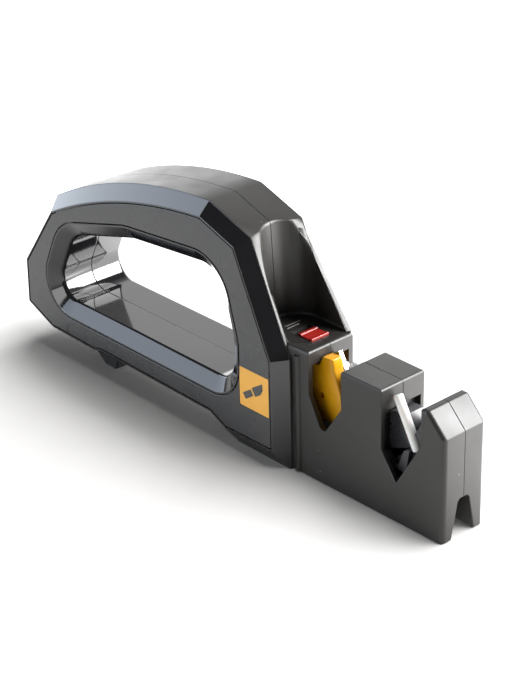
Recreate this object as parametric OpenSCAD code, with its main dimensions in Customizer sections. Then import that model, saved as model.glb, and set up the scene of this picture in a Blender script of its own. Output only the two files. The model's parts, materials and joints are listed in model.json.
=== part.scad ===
// Hand-held pull-through knife sharpener with a closed grip.
// A blade is drawn across the nose, along Y: first notch for shaping between
// two carbide cutters, second notch for honing between two ceramic rods.
// The nose points along +X, the bench is at z = 0, and the two body halves
// meet on the plane y = 0. All sizes are in millimetres.

/* [Grip] */
// Length of the grip, from its rear end to the step in front of the nose
grip_len = 178.1; // [175:0.1:182]
// Height of the grip's top above the bench
grip_h = 107.3; // [105:0.1:110]
// Width over the two side panels
grip_w = 41; // [40:0.5:44]
// Width of the textured spine between the two covers
spine_w = 28; // [27.6:0.2:29]
// How far the rim of the hand opening is chamfered, seen from the side
rim_in = 6.4; // [5.5:0.1:7]
// How deep the chamfer of that rim runs
rim_y = 4; // [3.5:0.1:4.5]
// Thickness of the sleeve that lines the hand opening
sleeve_t = 2.2; // [1.8:0.1:2.6]
// Wall thickness of the moulded halves
wall = 2.4; // [2:0.1:2.6]

/* [Panel and badge] */
// Thickness of the side panels
panel_t = 1.5; // [1.2:0.1:1.8]
// Dark gap line all round a side panel
panel_gap = 0.4; // [0.3:0.05:0.6]
// Side of the square badge
badge_s = 18; // [16:0.5:18.5]
// Thickness of the badge
badge_t = 0.8; // [0.6:0.1:1]

/* [Nose] */
// Width of the nose where it leaves the grip
nose_w = 25.8; // [25.4:0.1:26.2]
// Width of the nose at its end
nose_end_w = 23.6; // [23.2:0.1:24.4]
// Height of the block that carries the selector
block_h = 57.6; // [57.2:0.1:58.4]
// Length of the block in front of the grip
block_l = 9.4; // [9:0.1:10]
// Width of the first blade notch
notch1_w = 18.4; // [18.2:0.1:19]
// Length of the tower between the notches
tower_l = 22.1; // [21.5:0.1:24]
// Height of the tower and of the horn
tower_h = 56; // [55.5:0.1:57]
// Width of the second blade notch
notch2_w = 20.9; // [20.7:0.1:21.5]
// Flat on top of the horn
horn_flat = 3.1; // [2.5:0.1:4]
// Length of the slanted face at the end of the horn
horn_run = 9; // [8:0.1:10]
// Height at which that slanted face ends
horn_front_h = 46.7; // [44:0.1:49]
// Radius of the nose's upright end edges
nose_round = 2.4; // [1.6:0.2:3]
// Height of the channel under the nose end
arch_h = 17.4; // [15:0.1:17.6]
// Radius of the scoop in front of the grip
scoop_r = 12.2; // [11.8:0.1:12.4]
// How far the wall on the right of the scoop stops behind the block's front
guard_back = 2.3; // [1.5:0.1:3.5]

/* [Selector] */
// Travel of the selector
selector_travel = 4; // [3:0.5:4.5]
// Length of the selector button
button_l = 8.4; // [8:0.2:9]
// Width of the selector button
button_w = 9.6; // [9:0.2:10]
// How far the button stands above the block
button_h = 1; // [0.8:0.1:1.4]

/* [Carbide stage] */
// Width of the carbide carriage
carriage1_w = 11; // [10.4:0.2:11.4]
// Lean of each carbide cutter from upright
cutter_lean = 26; // [25:0.5:27]
// Thickness of a carbide cutter
cutter_t = 2.2; // [2:0.1:2.4]
// Width of a carbide cutter
cutter_b = 3.6; // [3.4:0.1:3.8]
// Length of a carbide cutter
cutter_l = 17; // [16:0.5:17.5]

/* [Ceramic stage] */
// Width of the ceramic carriage
carriage2_w = 11; // [10.6:0.2:11.4]
// Diameter of a ceramic rod
rod_d = 4; // [3.8:0.1:4.2]
// Length of a ceramic rod
rod_l = 23.5; // [22.5:0.5:24]
// Lean of each ceramic rod from upright
rod_lean = 28.5; // [27:0.5:29]

/* [Fasteners and fits] */
// Diameter of the pivot pins
pin_d = 3; // [2.8:0.1:3.2]
// Shank diameter of the body screws
screw_d = 2.9; // [2.7:0.1:3]
// Head diameter of the body screws
screw_head_d = 5.5; // [5:0.1:5.6]
// Running clearance of a pivot, on the radius
run_fit = 0.05; // [0.03:0.01:0.08]
// Clearance of a seated piece, per side
seat_fit = 0.1; // [0.06:0.01:0.15]
// Gap of the sliding selector, per side
slide_fit = 0.2; // [0.15:0.05:0.25]

/* [Hidden] */
$fn = 48;
nose_len = block_l + notch1_w + tower_l + notch2_w + horn_flat + horn_run;
overall_len = grip_len + nose_len;
// stations along X
root_x = -overall_len / 2 + grip_len;
block_x = root_x + block_l;
tower_x = block_x + notch1_w;
face_x = tower_x + tower_l;
horn_x = face_x + notch2_w;
slant_x = horn_x + horn_flat;
end_x = overall_len / 2;
vee1_x = block_x + notch1_w / 2;
vee2_x = face_x + notch2_w / 2;
// half widths
grip_y = grip_w / 2;
spine_y = spine_w / 2;
nose_y = nose_w / 2;
nose_end_y = nose_end_w / 2;
cavity_y = spine_y - wall;
stage_y = 10.2;
// the grip is drawn at a reference size; a longer one is stretched over its middle only
ref_len = 178.1;
ref_h = 107.3;
stretch_front = 60;
stretch_l = 60;
big = 400;

function stretch(x) = min(1, max(0, (-x - stretch_front) / stretch_l));
function gp(x, z) = [root_x + x + (ref_len - grip_len) * stretch(x), z * grip_h / ref_h];
function unit(v) = v / norm(v);
// half width of the tapering nose
function nose_half(x) = nose_y + (nose_end_y - nose_y) * (x - root_x) / (end_x - root_x);

// points of a shallow arc from a to b, ends left out
function arc_between(a, b, sag, n) =
  let (h = norm(b - a) / 2, m = (a + b) / 2, u = unit(b - a), r = (h * h + sag * sag) / (2 * sag))
  [for (i = [1:n]) let (s = h * (2 * i / (n + 1) - 1))
    m + u * s + [u[1], -u[0]] * (sqrt(r * r - s * s) - r + sag)];

// closed outline moved inwards by d
function inset(p, d) =
  let (n = len(p))
  [for (i = [0:n - 1])
    let (u = unit(p[i] - p[(i + n - 1) % n]), v = unit(p[(i + 1) % n] - p[i]),
         a = [-u[1], u[0]], b = [-v[1], v[0]])
    p[i] + d * (a + b) / (1 + a * b)];

// direction of the line that touches circles a and b, both [x, z, r]
function touch(a, b) =
  atan2(b[1] - a[1], b[0] - a[0]) - acos((a[2] - b[2]) / norm([b[0] - a[0], b[1] - a[1]]));

// outline drawn tight around a ring of circles, grown by d
function wrap(c, d, step) =
  let (n = len(c))
  [for (i = [0:n - 1])
    let (t0 = touch(c[(i + n - 1) % n], c[i]), t1 = touch(c[i], c[(i + 1) % n]),
         turn = ((t1 - t0) % 360 + 360) % 360, k = max(1, ceil(turn / step)))
    for (j = [0:k]) let (t = t0 + turn * j / k)
      [c[i][0], c[i][1]] + (c[i][2] + d) * [cos(t), sin(t)]];

arc_steps = 10;
spine_top = [gp(-46.5, 107.3), gp(-153, 78.5)];
spine_p = concat(
  [gp(0, 0), gp(0, 51.3), gp(-21.9, 98.7), spine_top[0]],
  arc_between(spine_top[0], spine_top[1], 6.6, arc_steps),
  [spine_top[1], gp(-177.6, 43), gp(-178.1, 19.5), gp(-159.6, 8.8), gp(-45.6, 8.8), gp(-33.6, 0)]);
panel_top = [gp(-45.5, 102.5), gp(-150.4, 72.8)];
panel_p = concat(
  [gp(-4.6, 8.9), gp(-4.6, 50.9), gp(-24.9, 95.3), panel_top[0]],
  arc_between(panel_top[0], panel_top[1], 5.8, arc_steps),
  [panel_top[1], gp(-172.8, 42.4), gp(-173.6, 20.6), gp(-156, 13.2), gp(-44, 13), gp(-34.2, 8.4)]);
function ring_circle(x, z, r) = concat(gp(x, z), [r]);
opening_c = [
  ring_circle(-140.6, 39.6, 16),
  ring_circle(-42.2, 40.6, 17),
  ring_circle(-49, 49.6, 24),
  ring_circle(-49.2, 66, 20),
  ring_circle(-92.2, 57.2, 25),
  ring_circle(-127, 48.3, 24.5)];
function opening_p(d) = wrap(opening_c, d, 9);

// places where the covers are pegged and the halves are screwed together
peg_r = 2;
peg_at = [gp(-75, 91.5), gp(-133, 77), gp(-164.5, 36), gp(-100, 18.8), gp(-15, 52), gp(-15, 22)];
peg_tip_y = cavity_y - 1.6;
tower_mid_x = (tower_x + face_x) / 2;
screw_at = [gp(-105, 88.5), gp(-52, 93), gp(-165, 49), gp(-72, 18), gp(-17, 9.5), gp(-18, 42),
  [tower_mid_x, 9], [tower_mid_x, 46.5]];
screw_seat_y = 7.3;
screw_head_h = 2.2;
screw_tip_y = 8.5;
boss_r = 4.2;

// upright bead beside the grip
bead_r = 1.6;
bead_sink = 0.6;
bead_x = root_x + 2 * bead_r;
// wall on the right of the scoop, which runs from the top of the grip onto the block
guard_x = block_x - guard_back;
guard_p = [gp(-22.6, 98.2), gp(-8, 55), gp(-4, 49), [guard_x, block_h - 5], [guard_x, block_h]];
// blade notches, seen from the side
notch1_side_z = 38.7;
notch1_low = [block_x + 7.6, 25];
notch2_low = [face_x + 8.1, 17.8];
notch2_rear_z = 29.9;
notch2_front_z = 39.6;
// hollows under the stages and in the tower
hollow_y = 9.6;
hollow_floor_z = 3;
// channel under the nose end: half widths at its mouth and at its top
arch_x = horn_x - 5.4;
arch_mouth_y = 6.5;
arch_top_y = 3.2;
arch_chamfer = 1.2;
// stage 1: carbide carriage on a pivot along X
pivot1_z = 29;
stage1_rear_x = root_x - 1.1;
stage1_floor_z = 19;
leaf1_rear_x = vee1_x - 5;
leaf1_front_x = vee1_x + 5;
leaf1_top_z = 26;
lip_z = block_h - 6.4;
roof_z = block_h - wall;
cross1_z = 44.2;
cutter_drop = 5;
cheek_in_y = 0.4;
cutter_y = cheek_in_y + seat_fit;
// stage 2: ceramic carriage on a pivot along X
pivot2_z = 25;
stage2_rear_x = face_x - 3;
stage2_front_x = horn_x + 3.2;
stage2_floor_z = 19.6;
leaf2_rear_x = vee2_x - 7;
leaf2_front_x = vee2_x + 3;
leaf2_top_z = 22.2;
pocket_z = 46;
cross2_z = 37;
rod_y = carriage2_w / 2 - 0.4;
rod_drop = 6;
pin_over = 2.8;
pin_end_gap = 0.1;
// leaf springs that centre the two stages
blade_y = 0.25;
blade_root = 4;
blade_fit = 0.05;
blade_slot_y = 0.5;

// selector
button_front_x = root_x + 3.4;
button_rear_x = button_front_x - button_l;
recess_h = 1;
stem_y = 3;
stem_front_x = button_front_x - 1.3;
stem_rear_x = stem_front_x - 6;
slot_front_x = stem_front_x + slide_fit;
slot_rear_x = stem_rear_x - selector_travel - 0.5;
stem_sink = 0.8;
shoe_y = 5.6;
shoe_front_x = stem_front_x + 2;
shoe_rear_x = stem_rear_x - 2.4;
shoe_top_z = roof_z - slide_fit;
shoe_bottom_z = shoe_top_z - 1.7;
bay_rear_x = shoe_rear_x - selector_travel - 1;
bay_y = shoe_y + 0.6;
bay_z = roof_z - 7.2;
leaf_t = 0.4;
leaf_y = 2.5;
leaf_top_z = shoe_bottom_z - 0.4;
detent_r = 0.7;
detent_x = shoe_front_x - 3 - selector_travel;
rib_rear_x = bay_rear_x - 3;
foot_rear_x = gp(-140.6, 0)[0];
foot_front_x = gp(-118.6, 0)[0];
foot_top_z = gp(0, 8.8)[1];
foot_y = 11;
foot_tongue_rear_x = foot_rear_x + 7;
foot_tongue_front_x = foot_front_x - 5;
foot_tongue_y = 6;
foot_tongue_h = 2;

// side outline p as a plate from y0 to y1
module plate(p, y0, y1) {
  translate([0, y1, 0]) rotate([90, 0, 0]) linear_extrude(y1 - y0) polygon(p);
}

// box between two corners
module box(a, b) {
  translate(a) cube(b - a);
}

// cylinder along Y
module y_rod(c, r, y0, y1) {
  translate([c[0], y0, c[1]]) rotate([-90, 0, 0]) cylinder(r = r, h = y1 - y0);
}

// cylinder along X
module x_rod(z, r, x0, x1) {
  translate([x0, 0, z]) rotate([0, 90, 0]) cylinder(r = r, h = x1 - x0);
}

// leaf spring standing on edge along X, grown by g
module leaf(x0, x1, z0, z1, g) {
  box([x0 - g, -blade_y - g, z0 - g], [x1 + g, blade_y + g, z1]);
}

// hex socket in a screw head that faces +Y, from the top of the head at y
module hex_socket(c, y, r, depth) {
  translate([c[0], y + 1, c[1]]) rotate([90, 0, 0]) cylinder(r = r, h = depth + 1, $fn = 6);
}

// solid between two outlines of equal count, p at y0 and q at the lower y1
module loft(p, y0, q, y1, caps) {
  n = len(p);
  polyhedron(
    points = concat([for (a = p) [a[0], y0, a[1]]], [for (a = q) [a[0], y1, a[1]]]),
    faces = concat(
      caps,
      [for (f = caps) [for (i = [len(f) - 1:-1:0]) f[i] + n]],
      [for (i = [0:n - 1]) [i, i + n, (i + 1) % n + n]],
      [for (i = [0:n - 1]) [i, (i + 1) % n + n, (i + 1) % n]]));
}

// two convex caps for the grip outline, which has one inward corner
grip_n = len(spine_p);
grip_caps = [[for (i = [1:grip_n - 2]) i], [grip_n - 2, grip_n - 1, 0, 1]];

// hollow of the scoop, grown by g
module scoop(g) {
  intersection() {
    translate([root_x - 9.85, 0, block_h - 10]) rotate([0, -3.6, 0]) {
      cylinder(r = scoop_r + g, h = 80);
      translate([0, -scoop_r - g, 0]) cube([60, 2 * (scoop_r + g), 80]);
    }
    box([-big, -big, block_h - g], [big, big, big]);
  }
}

// side outline of the nose with both blade notches; it starts inside the spine
nose_rear_x = root_x - 4;
nose_p = [
  [nose_rear_x, 0], [end_x, 0], [end_x, horn_front_h], [slant_x, tower_h], [horn_x, tower_h],
  [horn_x, notch2_front_z], notch2_low, [face_x, notch2_rear_z], [face_x, tower_h],
  [tower_x, tower_h], [tower_x, notch1_side_z], notch1_low + [1.7, 0.2], notch1_low,
  notch1_low + [-1.3, 1], [block_x, notch1_side_z], [block_x, block_h], [nose_rear_x, block_h]];

module nose_plan() {
  rear_y = nose_half(nose_rear_x);
  corner = [for (i = [0:6]) [end_x - nose_round, nose_end_y - nose_round]
    + nose_round * [cos(15 * i), sin(15 * i)]];
  linear_extrude(100) polygon(concat(
    [[nose_rear_x, rear_y], [nose_rear_x, -rear_y]],
    [for (i = [6:-1:0]) [corner[i][0], -corner[i][1]]],
    corner));
}

module body_outside() {
  plate(spine_p, -spine_y, spine_y);
  intersection() {
    plate(nose_p, -nose_y - 1, nose_y + 1);
    nose_plan();
  }
  plate(guard_p, nose_y - 2, spine_y);
  // upright bead beside the grip, on both sides of the nose
  for (s = [-1, 1])
    translate([bead_x, s * (nose_half(bead_x) - bead_sink), bead_sink])
      cylinder(r = bead_r, h = block_h - 4);
}

module grip_cavity() {
  difference() {
    plate(inset(spine_p, wall), -cavity_y, cavity_y);
    plate(opening_p(sleeve_t + seat_fit + wall - rim_in), -big, big);
    scoop(wall);
    box([stage1_rear_x - wall, -big, -1], [big, big, bay_z]);
    box([root_x - wall - 4, -big, bay_z - 1], [big, big, big]);
    for (c = screw_at) y_rod(c, boss_r, -big, big);
    // rib that holds the detent spring
    box([rib_rear_x, -5, leaf_top_z - 3], [bay_rear_x, 5, roof_z + 1]);
  }
}

module nose_cavities() {
  // bay of the selector shoe
  box([bay_rear_x, -bay_y, bay_z], [block_x - wall, bay_y, roof_z]);
  // carbide stage
  box([stage1_rear_x, -stage_y, stage1_floor_z], [tower_x, stage_y, lip_z]);
  // ceramic stage
  box([stage2_rear_x, -stage_y, stage2_floor_z], [stage2_front_x, stage_y, pocket_z]);
  // hollows under the stages and in the tower
  difference() {
    union() {
      box([root_x + wall, -hollow_y, hollow_floor_z], [tower_x - 2, hollow_y, 14]);
      box([tower_x + 4, -hollow_y, hollow_floor_z], [stage2_rear_x - 3.4, hollow_y, tower_h - 3.4]);
      box([stage2_rear_x, -hollow_y, hollow_floor_z], [stage2_rear_x + 14, hollow_y, 12.5]);
    }
    for (c = screw_at) y_rod(c, boss_r, -big, big);
  }
  // channel under the nose end
  translate([arch_x, 0, 0]) rotate([90, 0, 90]) linear_extrude(end_x) polygon([
    [-arch_mouth_y, -1], [arch_mouth_y, -1], [arch_mouth_y, 0],
    [arch_top_y, arch_h - arch_chamfer], [arch_top_y - arch_chamfer, arch_h],
    [arch_chamfer - arch_top_y, arch_h], [-arch_top_y, arch_h - arch_chamfer], [-arch_mouth_y, 0]]);
  // recess and slot of the selector
  box([button_rear_x - selector_travel - slide_fit, -button_w / 2 - slide_fit, block_h - recess_h],
    [button_front_x + slide_fit, button_w / 2 + slide_fit, block_h + 1]);
  box([slot_rear_x, -stem_y - slide_fit, roof_z - 1],
    [slot_front_x, stem_y + slide_fit, block_h + 1]);
}

module body() {
  difference() {
    body_outside();
    plate(opening_p(sleeve_t + seat_fit - rim_in), -big, big);
    scoop(0);
    grip_cavity();
    nose_cavities();
    // seats of the two pivot pins
    x_rod(pivot1_z, pin_d / 2 + seat_fit / 2, stage1_rear_x - pin_over, tower_x + pin_over);
    x_rod(pivot2_z, pin_d / 2 + seat_fit / 2, stage2_rear_x - pin_over, stage2_front_x + pin_over);
    // slots of the two leaf springs
    leaf(leaf1_rear_x, leaf1_front_x, stage1_floor_z - blade_root, stage1_floor_z + 1, blade_fit);
    leaf(leaf2_rear_x, leaf2_front_x, stage2_floor_z - blade_root, stage2_floor_z + 1, blade_fit);
    // slot of the detent spring in its rib
    box([rib_rear_x - 1, -leaf_y - seat_fit, leaf_top_z - leaf_t - blade_fit],
      [bay_rear_x + 1, leaf_y + seat_fit, leaf_top_z + blade_fit]);
    // slot of the rear foot
    box([foot_tongue_rear_x - seat_fit, -foot_tongue_y - seat_fit, 0],
      [foot_tongue_front_x + seat_fit, foot_tongue_y + seat_fit, foot_top_z + foot_tongue_h + seat_fit]);
    for (c = peg_at) {
      y_rod(c, peg_r + seat_fit, -big, 0.3 - peg_tip_y);
      y_rod(c, peg_r + seat_fit, peg_tip_y - 0.3, big);
    }
  }
}

module left_body() {
  color([0.10, 0.10, 0.10]) difference() {
    intersection() {
      body();
      box([-big, -big, -1], [big, 0, big]);
    }
    for (c = screw_at) y_rod(c, screw_d / 2 + seat_fit / 2, -screw_tip_y - 0.6, 1);
  }
}

module right_body() {
  color([0.10, 0.10, 0.10]) difference() {
    intersection() {
      body();
      box([-big, 0, -1], [big, big, big]);
    }
    for (c = screw_at) {
      y_rod(c, screw_d / 2 + 0.25, -1, screw_seat_y + 1);
      y_rod(c, screw_head_d / 2 + 0.25, screw_seat_y, big);
    }
  }
}

module cover() {
  out = 0.6;
  back_y = grip_y - panel_t - 1.7;
  difference() {
    union() {
      difference() {
        loft(spine_p, -spine_y, panel_p, -grip_y, grip_caps);
        difference() {
          plate(inset(spine_p, 6), -back_y, 0);
          plate(opening_p(0.5), -big, big);
        }
      }
      plate(opening_p(sleeve_t - rim_in), -spine_y - 0.5, -0.05);
      for (c = peg_at) y_rod(c, peg_r, -back_y - 0.5, -peg_tip_y);
    }
    plate(opening_p(-rim_in), -grip_y - 1, 1);
    loft(opening_p(-rim_in), rim_y - grip_y, opening_p(rim_in * out / rim_y), -grip_y - out,
      [[for (i = [0:len(opening_p(0)) - 1]) i]]);
    difference() {
      plate(inset(panel_p, 0.6), -grip_y - 1, panel_t - grip_y);
      plate(opening_p(0.6), -big, big);
    }
  }
}

module left_grip_cover() {
  color([0.02, 0.02, 0.025]) cover();
}

module right_grip_cover() {
  color([0.02, 0.02, 0.025]) mirror([0, 1, 0]) cover();
}

badge_edge = 1.5;
badge_x = gp(-4.6, 0)[0] - badge_edge - badge_s / 2;
badge_z = gp(0, 33.3)[1];

// plate of a side panel, lying in the recess of its cover
module panel() {
  difference() {
    plate(inset(panel_p, 0.6 + panel_gap), -grip_y, panel_t - grip_y);
    plate(opening_p(0.6 + panel_gap), -big, big);
    // seam across the lower bar
    box([gp(-144, 0)[0], -grip_y - 1, 0], [gp(-144, 0)[0] + 0.35, 0.6 - grip_y, gp(0, 25)[1]]);
  }
}

module left_side_panel() {
  color([0.07, 0.07, 0.08]) difference() {
    panel();
    box([badge_x - badge_s / 2 - seat_fit, -grip_y - 1, badge_z - badge_s / 2 - seat_fit],
      [badge_x + badge_s / 2 + seat_fit, badge_t - grip_y, badge_z + badge_s / 2 + seat_fit]);
  }
}

module right_side_panel() {
  color([0.07, 0.07, 0.08]) mirror([0, 1, 0]) panel();
}

module badge() {
  color([0.90, 0.62, 0.15])
    box([badge_x - badge_s / 2, -grip_y, badge_z - badge_s / 2],
      [badge_x + badge_s / 2, badge_t - grip_y, badge_z + badge_s / 2]);
}

module rear_foot() {
  color([0.05, 0.05, 0.05]) {
    plate([[foot_rear_x + 11, 0], [foot_front_x - 3, 0], [foot_front_x, foot_top_z],
      [foot_rear_x, foot_top_z]], -foot_y, foot_y);
    box([foot_tongue_rear_x, -foot_tongue_y, foot_top_z - 1],
      [foot_tongue_front_x, foot_tongue_y, foot_top_z + foot_tongue_h]);
  }
}

module body_screws() {
  color([0.55, 0.56, 0.58]) for (c = screw_at) difference() {
    union() {
      y_rod(c, screw_d / 2, -screw_tip_y, screw_seat_y + 0.5);
      y_rod(c, screw_head_d / 2, screw_seat_y, screw_seat_y + screw_head_h);
    }
    hex_socket(c, screw_seat_y + screw_head_h, 1.3, 1.2);
  }
}

module selector_button() {
  color([0.75, 0.05, 0.05]) {
    difference() {
      box([button_rear_x, -button_w / 2, block_h - recess_h + 0.1],
        [button_front_x, button_w / 2, block_h + button_h]);
      // dished middle between two raised lips
      translate([(button_rear_x + button_front_x) / 2, 0, block_h + button_h + 11]) rotate([90, 0, 0])
        cylinder(r = 11.6, h = 2 * button_w, center = true);
    }
    box([stem_rear_x, -stem_y, shoe_top_z - stem_sink], [stem_front_x, stem_y, block_h - 0.4]);
  }
}

module selector_shoe() {
  color([0.15, 0.15, 0.16]) difference() {
    box([shoe_rear_x, -shoe_y, shoe_bottom_z], [shoe_front_x, shoe_y, shoe_top_z]);
    box([stem_rear_x - run_fit, -stem_y - run_fit, shoe_top_z - stem_sink],
      [stem_front_x + run_fit, stem_y + run_fit, shoe_top_z + 1]);
    // two notches for the detent spring
    for (i = [0, 1])
      translate([detent_x + i * selector_travel, 0, shoe_bottom_z]) rotate([90, 0, 0])
        cylinder(r = detent_r, h = 3 * shoe_y, center = true);
  }
}

module selector_spring() {
  color([0.70, 0.71, 0.73]) {
    box([rib_rear_x, -leaf_y, leaf_top_z - leaf_t], [detent_x + 1.5, leaf_y, leaf_top_z]);
    translate([detent_x, 0, leaf_top_z - 0.1]) rotate([90, 0, 0])
      cylinder(r = detent_r - seat_fit, h = 2 * leaf_y, center = true);
  }
}

// edge of a cutter at height z, seen from the side; s is -1 for the rear one, 1 for the front one
function cutter_edge_x(s, z) = vee1_x + s * (z - cross1_z) * tan(cutter_lean);

// screw that clamps a cutter
clamp_r = 0.8;
clamp_head_r = 1.5;
clamp_head_t = 1.2;
clamp_z = cross1_z + 4.2;
function clamp_at(s) = [cutter_edge_x(s, clamp_z) + s * cutter_b / (2 * cos(cutter_lean)), clamp_z];

// side outlines of the carbide carriage: base, the cheek that carries a cutter and the stop behind it
carriage1_rear_x = stage1_rear_x + 2;
carriage1_front_x = tower_x - 1.1;
carriage1_top_z = block_h - 3.8;
carriage1_step_z = bay_z + 1;
carriage1_base_z = 34;
carriage1_back_p = [
  [block_x + 0.7, carriage1_top_z - 0.3], [block_x + 0.7, carriage1_step_z + 1.6],
  [block_x - 1.6, carriage1_step_z], [carriage1_rear_x, carriage1_step_z],
  [carriage1_rear_x, carriage1_base_z - 1]];
carriage1_fore_p = [[carriage1_front_x, carriage1_top_z - 0.3], [carriage1_front_x, carriage1_base_z - 1]];

function cheek_p(s) = concat(
  [for (q = [[-2.6, carriage1_base_z - 1], [-1.5, 40.7], [2.2, carriage1_top_z - 5.4],
             [2.2, carriage1_top_z - 3.3], [3, carriage1_top_z]]) [vee1_x + s * q[0], q[1]]],
  s < 0 ? carriage1_back_p : carriage1_fore_p);

// cheek with the stop behind its cutter, open in front of the cutter
module cheek(s) {
  half = carriage1_w / 2;
  stop_y = cutter_y + cutter_t;
  difference() {
    plate(cheek_p(s), s < 0 ? -half : -stop_y, s < 0 ? stop_y : half);
    translate([vee1_x, s < 0 ? cheek_in_y : -big, cross1_z]) rotate([0, s * cutter_lean, 0])
      translate([s < 0 ? -cutter_b - 2 * seat_fit : -big, 0, -cutter_drop - 2 * seat_fit])
        cube([big + cutter_b + 2 * seat_fit, big - cheek_in_y, big]);
  }
}

module carbide_carriage() {
  half = carriage1_w / 2;
  color([0.92, 0.66, 0.03]) difference() {
    union() {
      box([carriage1_rear_x, -half, 24.5], [carriage1_front_x, half, carriage1_base_z]);
      for (s = [-1, 1]) cheek(s);
    }
    x_rod(pivot1_z, pin_d / 2 + run_fit, -big, big);
    box([leaf1_rear_x - 1, -blade_slot_y, stage1_floor_z],
      [leaf1_front_x + 1, blade_slot_y, leaf1_top_z + 0.4]);
    // hole seen in the near cheek
    y_rod([block_x + 0.2, 35.8], 1.5, -half - 1, 2.5 - half);
    for (s = [-1, 1]) {
      cutter_bar(s, seat_fit / 2);
      y_rod(clamp_at(s), clamp_r + seat_fit, 1.8 - half, half - 1.8);
    }
  }
}

// bar of a cutter, grown by g
module cutter_bar(s, g) {
  y0 = s < 0 ? cutter_y : -cutter_y - cutter_t;
  translate([vee1_x, y0 - g, cross1_z]) rotate([0, s * cutter_lean, 0])
    translate([(s < 0 ? -cutter_b : 0) - g, 0, -cutter_drop - g])
      cube([cutter_b + 2 * g, cutter_t + 2 * g, cutter_l + 2 * g]);
}

// cutter whose edge faces the vee
module cutter(s) {
  difference() {
    cutter_bar(s, 0);
    y_rod(clamp_at(s), clamp_r + seat_fit, -big, big);
  }
}

module carbide_cutter_rear() {
  color([0.75, 0.76, 0.78]) cutter(-1);
}

module carbide_cutter_front() {
  color([0.75, 0.76, 0.78]) cutter(1);
}

module cutter_screws() {
  half = carriage1_w / 2;
  head_y = cutter_y + cutter_t + blade_fit;
  color([0.55, 0.56, 0.58]) for (m = [0, 1]) {
    s = 2 * m - 1;
    translate([clamp_at(s)[0], 0, 0]) rotate([0, 0, 180 * m]) difference() {
      union() {
        y_rod([0, clamp_z], clamp_r, 2 - half, head_y + 0.1);
        y_rod([0, clamp_z], clamp_head_r, head_y, head_y + clamp_head_t);
      }
      hex_socket([0, clamp_z], head_y + clamp_head_t, 0.8, 0.7);
    }
  }
}

module carbide_pivot_pin() {
  over = pin_over - pin_end_gap;
  color([0.62, 0.63, 0.65]) x_rod(pivot1_z, pin_d / 2, stage1_rear_x - over, tower_x + over);
}

module carbide_spring() {
  color([0.70, 0.71, 0.73])
    leaf(leaf1_rear_x, leaf1_front_x, stage1_floor_z - blade_root, leaf1_top_z, 0);
}

// side outline of the ceramic carriage
carriage2_floor_z = 21;
carriage2_top_z = 44.6;
carriage2_vee_w = 4.5;
carriage2_p = [
  [stage2_rear_x + 1, carriage2_floor_z], [stage2_front_x - 1, carriage2_floor_z],
  [stage2_front_x - 1, carriage2_top_z - 1.1], [horn_x - 0.7, carriage2_top_z],
  [vee2_x + carriage2_vee_w, carriage2_top_z], [vee2_x, 36], [vee2_x - carriage2_vee_w, carriage2_top_z],
  [face_x + 0.7, carriage2_top_z], [stage2_rear_x + 1, carriage2_top_z - 1.1]];

// volume along the axis of a ceramic rod; s is -1 for the rear one, 1 for the front one
module rod_axis(s, r, l) {
  translate([vee2_x, s * rod_y, cross2_z]) rotate([0, s * rod_lean, 0]) translate([0, 0, -rod_drop])
    cylinder(r = r, h = l);
}

// side outline of a shoulder; m is 1 on the side of the rear rod, -1 on the other
function shoulder_p(m) = [for (q = [
    [-12.4, carriage2_floor_z], [-0.9, carriage2_floor_z], [1.1, 32], [0, 32.1], [-2.4, 30.8],
    [-5.1, 23.7], [-7.5, 22.6], [-12.4, 27.2]]) [vee2_x + m * q[0], q[1]]];
shoulder_out = 2.5;

module ceramic_carriage() {
  half = carriage2_w / 2;
  color([0.04, 0.04, 0.045]) difference() {
    union() {
      plate(carriage2_p, -half, half);
      // shoulder under the foot of each rod
      plate(shoulder_p(1), -half - shoulder_out, 0);
      plate(shoulder_p(-1), 0, half + shoulder_out);
    }
    x_rod(pivot2_z, pin_d / 2 + run_fit, -big, big);
    box([leaf2_rear_x - 1, -blade_slot_y, stage2_floor_z],
      [leaf2_front_x + 1, blade_slot_y, leaf2_top_z + 0.4]);
    for (s = [-1, 1]) rod_axis(s, rod_d / 2 + run_fit, 2 * rod_l);
  }
}

module ceramic_rod_rear() {
  color([0.90, 0.89, 0.85]) rod_axis(-1, rod_d / 2, rod_l);
}

module ceramic_rod_front() {
  color([0.90, 0.89, 0.85]) rod_axis(1, rod_d / 2, rod_l);
}

module ceramic_pivot_pin() {
  over = pin_over - pin_end_gap;
  color([0.62, 0.63, 0.65]) x_rod(pivot2_z, pin_d / 2, stage2_rear_x - over, stage2_front_x + over);
}

module ceramic_spring() {
  color([0.70, 0.71, 0.73])
    leaf(leaf2_rear_x, leaf2_front_x, stage2_floor_z - blade_root, leaf2_top_z, 0);
}

left_body();
right_body();
left_grip_cover();
right_grip_cover();
left_side_panel();
right_side_panel();
badge();
rear_foot();
body_screws();
selector_button();
selector_shoe();
selector_spring();
carbide_carriage();
carbide_cutter_rear();
carbide_cutter_front();
cutter_screws();
carbide_pivot_pin();
carbide_spring();
ceramic_carriage();
ceramic_rod_rear();
ceramic_rod_front();
ceramic_pivot_pin();
ceramic_spring();
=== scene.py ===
# %% [markdown]
# # Dressing a knife sharpener
# A pull-through sharpener is a closed hand grip with a nose, and two notches in the nose hone a blade.
# Its solids come in as a fixed frame, at their real size. This lesson gives them moulded edges, gap lines
# and finishes, and then lights them like a product on a white table. Meshes are worked out in
# millimetres, which suits moulded sizes, and put into the scene in metres.

# %% Load the frame
import json
import math

import bmesh
import bpy
from mathutils import Matrix, Vector

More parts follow.
